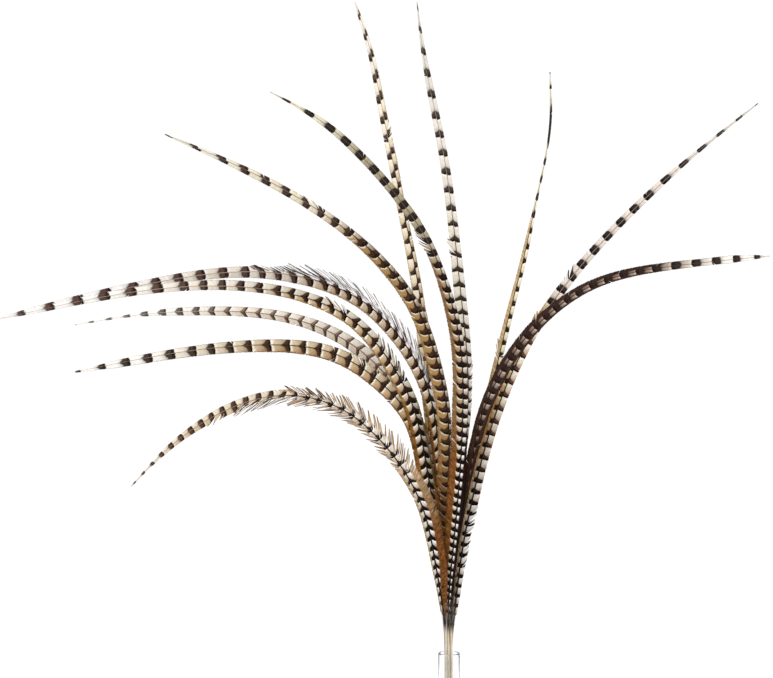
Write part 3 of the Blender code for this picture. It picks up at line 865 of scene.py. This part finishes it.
feathers["feather_upright_right"] = dict(
    left=(15, 17), right=(4, 13), roll=15,
    route=((1, -4, 233), (8, -7, 345), (22, -9, 489), (30, -10, 592), (27, -9, 670), (17, -8, 768),
           (0, -5, 920), (-21, 0, 1040), (-38, 4, 1120), (-51, 10, 1223)),
    trim=((0.8, 1, 1), (0.86, 0.8, 1.2), (0.9, 0.55, 1.1), (0.95, 0.5, 0.75), (1, 0.6, 0.6)),
    locks=((-1, 0.4, 0.47, 0.7, 5, 0.1), (-1, 0.575, 0.595, 0.8, 5, 0.1), (1, 0.34, 0.4, 0.6, 3, 0)),
    bars=((10, 0), (188, 5), (339.5, 10), (400.5, 12.4), (463, 15), (573.5, 20), (667, 25), (704, 27),
          (990, 45)),
    turn=(0.22, 0.34, 0.6, 0.72), half=(0.2, 0.2, 0.12, 0.165, 0.165, 0.21), swell=0.3,
    hook=(0.2, 0.2, 0.1, 0.06, 0.04, 0.03), slope=(0, 0, 0.05, 0.18, 0, 0.05),
    lag=(0, 0, -0.06, 0.08, -0.04, 0.05), bandFrom=(0.5, 0.8, 1.3, 1.3, 1.3, 1.3),
    cell="CDC3B4 E4DCCD, E0D8C8 E4DCD1, E2D9CF", rim="E4DCCE EEE7DA, ECE4D7 EEE7DD, EDE5DB",
    edge="120A05, 1E140E, 28201C", core="22160E, 463628, 4C4038", band="967346 8C765C, DED2C0, E4DACC",
    rachis="3C3026, 968E82", fade=(0.78, 0.9), end="DAD4CB",
)
feathers["feather_slant_right"] = dict(
    left=(9.5, 14), right=(10.5, 11.5), roll=15,
    route=((7.5, -4, 233), (21, -8, 345.5), (36.5, -11, 425.5), (60.5, -14, 521.5), (94, -17, 616),
           (135, -19, 696.5), (192, -22, 778), (270, -25, 865), (369, -27, 958), (487, -30, 1054)),
    trim=((0.78, 1, 1), (0.85, 0.68, 0.68), (0.9, 0.6, 0.6), (0.95, 0.58, 0.58), (1, 0.8, 0.8)),
    locks=((-1, 0.47, 0.5, 0.8, 8, 0.1), (-1, 0.57, 0.6, 0.7, 6, 0.1), (1, 0.07, 0.17, 0.45, 2, 0.1)),
    bars=((38, 0), (226, 5), (377, 10), (478, 14), (575, 18), (665, 22), (744, 26), (816, 30), (901, 35),
          (981, 40)),
    turn=(0.18, 0.32, 0.5, 0.58), half=(0.22, 0.19, 0.19, 0.17, 0.255, 0.255), swell=0.4,
    hook=(0.14, 0.1, 0.08, 0.08, 0, 0), slope=(0, -0.12, 0, 0.08, 0, 0), streaks=1.7,
    bandFrom=(0.56, 1, 0.62, 1.1, 1.3, 1.3), cell="E4D4C4 EEE6DE, B09A74 EADECA, D9CDC3",
    rim="F0E4D8 F6F2EE, CCBC9C F4EEE2, E6DBD2", edge="0E0704, 180E09, 16100F",
    core="180D08 1C100A, 2C1E12 6E4632, 362C28", band="C0A888 B09880, 9E7448 AA825F, D8CAB8",
    rachis="221812, 8E8276", fade=(0.8, 0.9), end="DAD4CC",
)
feathers["feather_left_upper"] = dict(
    left=(18, 16), right=(10, 14), roll=15,
    route=((-7, 4, 231), (-10, 7, 295), (-21, 11, 391), (-36, 15, 479), (-60, 19, 580), (-94, 23, 644),
           (-160, 28, 716), (-248.5, 33, 753), (-363, 39, 767.5), (-514, 47, 758), (-727, 60, 716)),
    trim=((0.5, 1, 1), (0.56, 0.82, 1.15), (0.66, 0.82, 1.35), (0.8, 0.95, 1.15), (1, 1, 1)),
    locks=((1, 0.345, 0.41, 0.9, 10, 0.2, 0.2, 0.3), (1, 0.475, 0.5, 0.9, 11, 0.2, 0.2, 0.3)),
    bars=((78, 0), (126, 1), (304, 5), (459, 10), (574, 15), (640, 18), (678, 20), (770, 25), (859, 30),
          (909, 33), (1097, 44.4)),
    turn=(0.28, 0.38, 0.54, 0.7), half=(0.21, 0.28, 0.175, 0.16, 0.22, 0.215),
    hook=(0.34, 0.26, 0.16, 0.16, 0, 0.05), slope=(0.1, 0.1, 0.05, 0.15, 0, 0),
    bandFrom=(0.6, 0.72, 0.8, 1.3, 1.3, 1.3), cell="D6C6B0 A09888, CCB492 CEC4B2, E8DED0",
    rim="F6EEE2 BEB6A8, F6EEE0 DED4C4, F2EBE0", edge="0E0703, 100906, 30201C", core="1A0E07, 4C301E, 624A42",
    band="805628 604E34, A88656 B4A896, ECE2D2", rachis="1A120C, B09C8A", fade=(0.7, 0.86), end="F8F5F0",
    edgeLine=0.35,
)
feathers["feather_left_high"] = dict(
    left=(13, 20), right=(9, 15), roll=20,
    route=((-1, 4, 231), (-5, 10, 343), (-12, 18, 462), (-20, 24, 543), (-39, 30, 618), (-81, 38, 688),
           (-139, 46, 743.3), (-224, 56, 780), (-333, 69, 792.3), (-476, 87, 776.5), (-757, 130, 715)),
    trim=((0.2, 1, 1), (0.28, 1.15, 1), (0.42, 1.15, 1), (0.55, 1.12, 1), (0.68, 0.88, 1.1)),
    locks=((1, 0.31, 0.56, 1, 28, 0.4, 0.5, 0.5), (1, 0.56, 0.61, 0.8, 9, -0.1, 0.2, 0.4)),
    bars=((-8, 0), (98, 2), (247, 5), (438, 10), (575, 15), (681, 20), (778, 25), (902, 31), (1182, 46)),
    turn=(0.24, 0.36, 0.5, 0.62), half=(0.2, 0.25, 0.18, 0.18, 0.22, 0.21),
    hook=(0.34, 0.26, 0.24, 0.2, 0, 0.05), slope=(0.1, 0.1, 0.05, 0.2, 0, 0),
    bandFrom=(0.6, 0.6, 0.84, 0.6, 1.3, 1.3), cell="CEBCA0 A0988A, D2BEA6 ECE6E4, E8DED0",
    rim="F4EADA B9B2A4, F6ECDE EAE3E1, F2EBE2", edge="0E0703, 120A08, 30201C", core="1A0E07, 543624, 624A42",
    band="7E562A 705A3A, B49874 F0ECEC, EAE0D2", rachis="160F0B, AC9A88", fade=(0.67, 0.84), end="F8F5F1",
    edgeLine=0.35, streaks=1.8,
)
feathers["feather_thin_right"] = dict(
    left=(11, 11), right=(8, 10), roll=35,
    route=((5, 4, 231), (16, 10, 343), (41, 19, 487), (67, 26, 591), (98, 37, 716), (122, 45, 807),
           (146, 56, 912), (170, 71, 1042), (170, 80, 1123)),
    trim=((0.66, 1, 1), (0.78, 0.42, 0.42), (0.88, 0.55, 0.55), (0.94, 0.7, 0.7), (1, 1.2, 1.2)),
    locks=((-1, 0.46, 0.48, 0.8, 5, 0.1),),
    bars=((20, 0.78), (31, 1.22), (46, 1.78), (130, 2.22), (152, 3), (182, 4), (212, 5), (243, 6), (270, 7),
          (297, 8), (393, 12), (459, 15), (903, 37)),
    turn=(0.3, 0.42, 0.68, 0.76), half=(0.24, 0.24, 0.1, 0.19, 0.19, 0.24), hook=(0.2, 0.1, 0, 0.05, 0, 0),
    bandFrom=(0.3, 1.3, 0.04, 1.3, 1.3, 1.3), cell="D7C8A5 E2D8BA, D2BA90 E8DEC4, DED4BA ECE6D4",
    rim="DED0B0 E8E0C8, DAC6A0 F1EAD6, E8E0CC F2EEE0", edge="180E08, 22160F, 1A1512",
    core="281A10, 38261B, 241D19", band="B9965F AA8C64, C0A67E CDB48C, C6B89C D8CAAC",
    rachis="302218, 5C5044", edgeLine=0.4,
)
feathers["feather_left_middle"] = dict(
    left=(14, 23), right=(14, 16), roll=12,
    route=((-8, 13, 230), (-19, 26, 340), (-39, 43, 468), (-59, 53, 549), (-105, 63, 606), (-185, 76, 657),
           (-293, 91, 672), (-427, 110, 662), (-627, 140, 626)),
    trim=((0.92, 1, 1), (0.95, 0.8, 0.8), (1, 1, 1)),
    locks=((1, 0.43, 0.48, 0.5, 8, 0.1),),
    bars=((5, 0), (91, 2), (209, 5), (372, 10), (505, 15), (616, 20), (708, 25), (790, 30), (937, 39.5)),
    turn=(0.24, 0.36, 0.62, 0.8), half=(0.19, 0.15, 0.2), hook=(0.3, 0.3, 0.12, 0.1, 0.06, 0.06),
    curl=(0.1, 0, 0), slope=(0, 0, 0.05, 0.03, 0, 0), lag=(0, 0, 0, -0.04, 0, 0),
    bandFrom=(0.5, 0.8, 0.84, 1.3, 1.3, 1.3), cell="D0B692 C4B69C, C6AC88 CCBA9C, E2D6C6",
    rim="EEDEC0 DED4C0, F6ECDA F4ECDC, EEE4D5", edge="140C06, 22140B, 281E16", core="281A0E, 4C3422, 4A3E36",
    band="8A5E30 785A3C, 987046 B09878, DECEBC", rachis="1E1610, A08A74", fade=(0.76, 0.9), end="FAF7F2",
    edgeLine=0.45,
)
feathers["feather_left_pale"] = dict(
    left=(15, 16), right=(15, 16), roll=10, slot="pale_vane",
    route=((-2, 13, 230), (-9, 28, 340), (-32, 51, 484), (-65, 67, 568), (-126, 86, 648), (-198, 104, 695),
           (-291, 125, 722), (-398, 149, 729), (-520, 179, 724), (-642, 210, 706)),
    trim=((0.78, 1, 1), (0.85, 0.75, 0.75), (0.9, 0.4, 0.4), (0.95, 0.38, 0.38), (1, 0.6, 0.6)),
    bars=((0, 0), (167, 5), (229, 7), (318, 10), (394, 13), (441, 15), (551, 20), (611, 23), (650, 25),
          (735, 30), (993, 45)),
    turn=(0.3, 0.44, 0.68, 0.8), half=(0.18, 0.135, 0.21), hook=(0.3, 0.04, 0.05), slope=(0.2, 0.3, 0.08),
    bandFrom=(0.55, 0.8, 1.3, 1.3, 1.3, 1.3), cell="DECEB8 D8CDBC, E6D8C8 EEE5DA, EEE5DA",
    rim="E6DAC8 E4DCCE, EEE4D6 F3ECE2, F3ECE2", edge="3C2C22, 3A2A23, 4E443C",
    core="705842 A08C70, 68564C 9E8270, 74665C", band="A07442, C8B496, DED2BE", rachis="78624E, C4B8A8",
    fade=(0.72, 0.86), end="FAF8F5", edgeLine=0.35, baseLight=0.94,
)
feathers["feather_upright_left"] = dict(
    left=(17, 18), right=(16, 14), roll=15,
    route=((3, 13, 230), (-1, 31, 340), (-13, 55, 468), (-28, 76, 598), (-43.5, 96, 746.5),
           (-61.5, 109, 847.5), (-84.5, 124, 957.5), (-111, 144, 1091), (-127, 154, 1170), (-154, 170, 1259)),
    trim=((0.4, 1, 1), (0.48, 1, 0.6), (0.64, 1, 0.65), (0.72, 0.95, 1.1), (0.9, 0.9, 1), (0.94, 0.85, 0.9),
          (1, 1.1, 1.1)),
    locks=((1, 0.75, 0.78, 0.6, 3, 0.1),),
    bars=((25, 0), (213, 5), (369, 10), (504, 15), (577, 18), (1045, 37.5)),
    turn=(0.3, 0.44, 0.66, 0.8), half=(0.19, 0.19, 0.14, 0.18, 0.215, 0.225), hook=(0.3, 0.3, 0.18, 0, 0, 0),
    lag=(0, 0, 0.22, -0.24, 0.09, -0.09), bandFrom=(0.75, 0.8, 0.9, 0.85, 1.3, 0.85),
    cell="C4B08C B4A482, EADCC4 D6C6AA, EEE3D0 ECDEC6", rim="D6C6A6 C4B696, F2E8D4 E6DAC4, F4ECDE F2E8D6",
    edge="281C14, 261812, 2E201A", core="423022, 543C2E, 58463A",
    band="B49668 A08C64, C4B288 AA9270, E1D2B4 CEBE9A", rachis="2C2018, 9E9282", fade=(0.8, 0.93),
    end="E8E0D4", edgeLine=0.25,
)

for index, (name, given) in enumerate(feathers.items()):
    feather = {**usual, **given}
    makeFeather(name, index, feather)


# Vase

vase = dict(
    height=180, neckRadius=17.3, neckWall=3.0, neckLength=52, shoulder=26, bodyRadius=46,
    bodyWall=3.5, floor=10, corner=3, innerDrop=0.8, around=96, joinWithin=0.00001,
    glass={"Base Color": (0.985, 0.995, 0.99), "Roughness": 0.0, "IOR": 1.5, "Transmission Weight": 1.0},
)


def quarterArc(centre, radius, start, steps=6):
    angles = [start - 0.5 * math.pi * i / steps for i in range(steps + 1)]
    return [(centre[0] + radius * math.cos(a), centre[1] + radius * math.sin(a)) for a in angles]


def shoulderLine(low, high, wide, narrow, steps=20):
    shares = [i / steps for i in range(steps + 1)]
    return [(wide + (narrow - wide) * (0.5 - 0.5 * math.cos(math.pi * share)), low + (high - low) * share)
            for share in shares]


def makeVase():
    outerTop = vase["height"] - vase["neckLength"]
    outerFoot = outerTop - vase["shoulder"]
    innerRadius = vase["bodyRadius"] - vase["bodyWall"]
    drop = vase["innerDrop"] * vase["bodyWall"]
    lip = vase["neckWall"] / 2
    well = 2 * vase["corner"]
    corner = (innerRadius - well, vase["floor"] + well)
    profile = [(0.0, vase["floor"])]
    profile += [(x, 2 * corner[1] - z) for x, z in quarterArc(corner, well, 0.5 * math.pi)]
    innerNeck = vase["neckRadius"] - vase["neckWall"]
    profile += shoulderLine(outerFoot - drop, outerTop - drop, innerRadius, innerNeck)
    profile += [(vase["neckRadius"] - lip - lip * math.cos(a), vase["height"] - lip + lip * math.sin(a))
                for a in np.linspace(0, math.pi, 13)]
    profile += shoulderLine(outerFoot, outerTop, vase["bodyRadius"], vase["neckRadius"])[::-1]
    profile += quarterArc((vase["bodyRadius"] - vase["corner"], vase["corner"]), vase["corner"], 0.0)
    profile.append((0.0, 0.0))

    mesh = bpy.data.meshes.new("vase_glass")
    edges = [(i, i + 1) for i in range(len(profile) - 1)]
    mesh.from_pydata([(x * mm, 0.0, z * mm) for x, z in profile], edges, [])
    glass = bpy.data.objects.new("vase_glass", mesh)
    bpy.context.scene.collection.objects.link(glass)
    turned = glass.modifiers.new("turned", "SCREW")
    turned.axis = "Z"
    turned.steps = turned.render_steps = vase["around"]
    turned.use_merge_vertices = True
    turned.merge_threshold = vase["joinWithin"]
    turned.use_smooth_shade = True
    mesh.materials.append(newMaterial("clearGlass", vase["glass"])[0])
    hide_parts("vase")
    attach(glass, "root")


makeVase()
report("vase")
